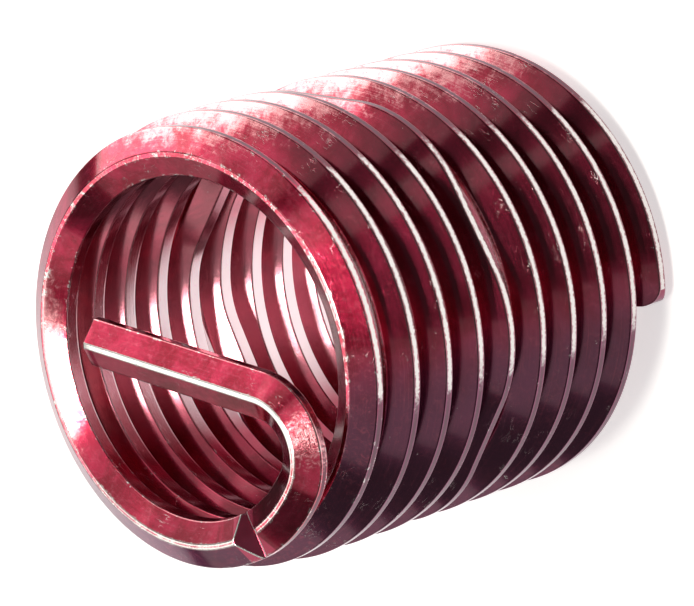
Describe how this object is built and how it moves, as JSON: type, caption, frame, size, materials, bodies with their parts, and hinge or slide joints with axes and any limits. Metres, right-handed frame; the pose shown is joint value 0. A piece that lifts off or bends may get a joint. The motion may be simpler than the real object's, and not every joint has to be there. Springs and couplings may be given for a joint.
{
  "type": "wire thread insert",
  "caption": "Screw-locking wire thread insert: a right-hand coil of rhombic wire with one polygonal locking turn and a notched drive tang across the bore.",
  "frame": {"origin": "on the coil's axis at its plain end, the middle of the bottom of the bounding box", "axes": "+Z along the coil's axis from the plain end to the tang end; the tang points along -X"},
  "size_m": [0.0122, 0.0122, 0.0133],
  "materials": {
    "wire": "stainless wire dyed translucent crimson, glossy, with bare worn edges on the crests"
  },
  "bodies": {
    "root": {"wire_coil": "wire"}
  },
  "joints": []
}
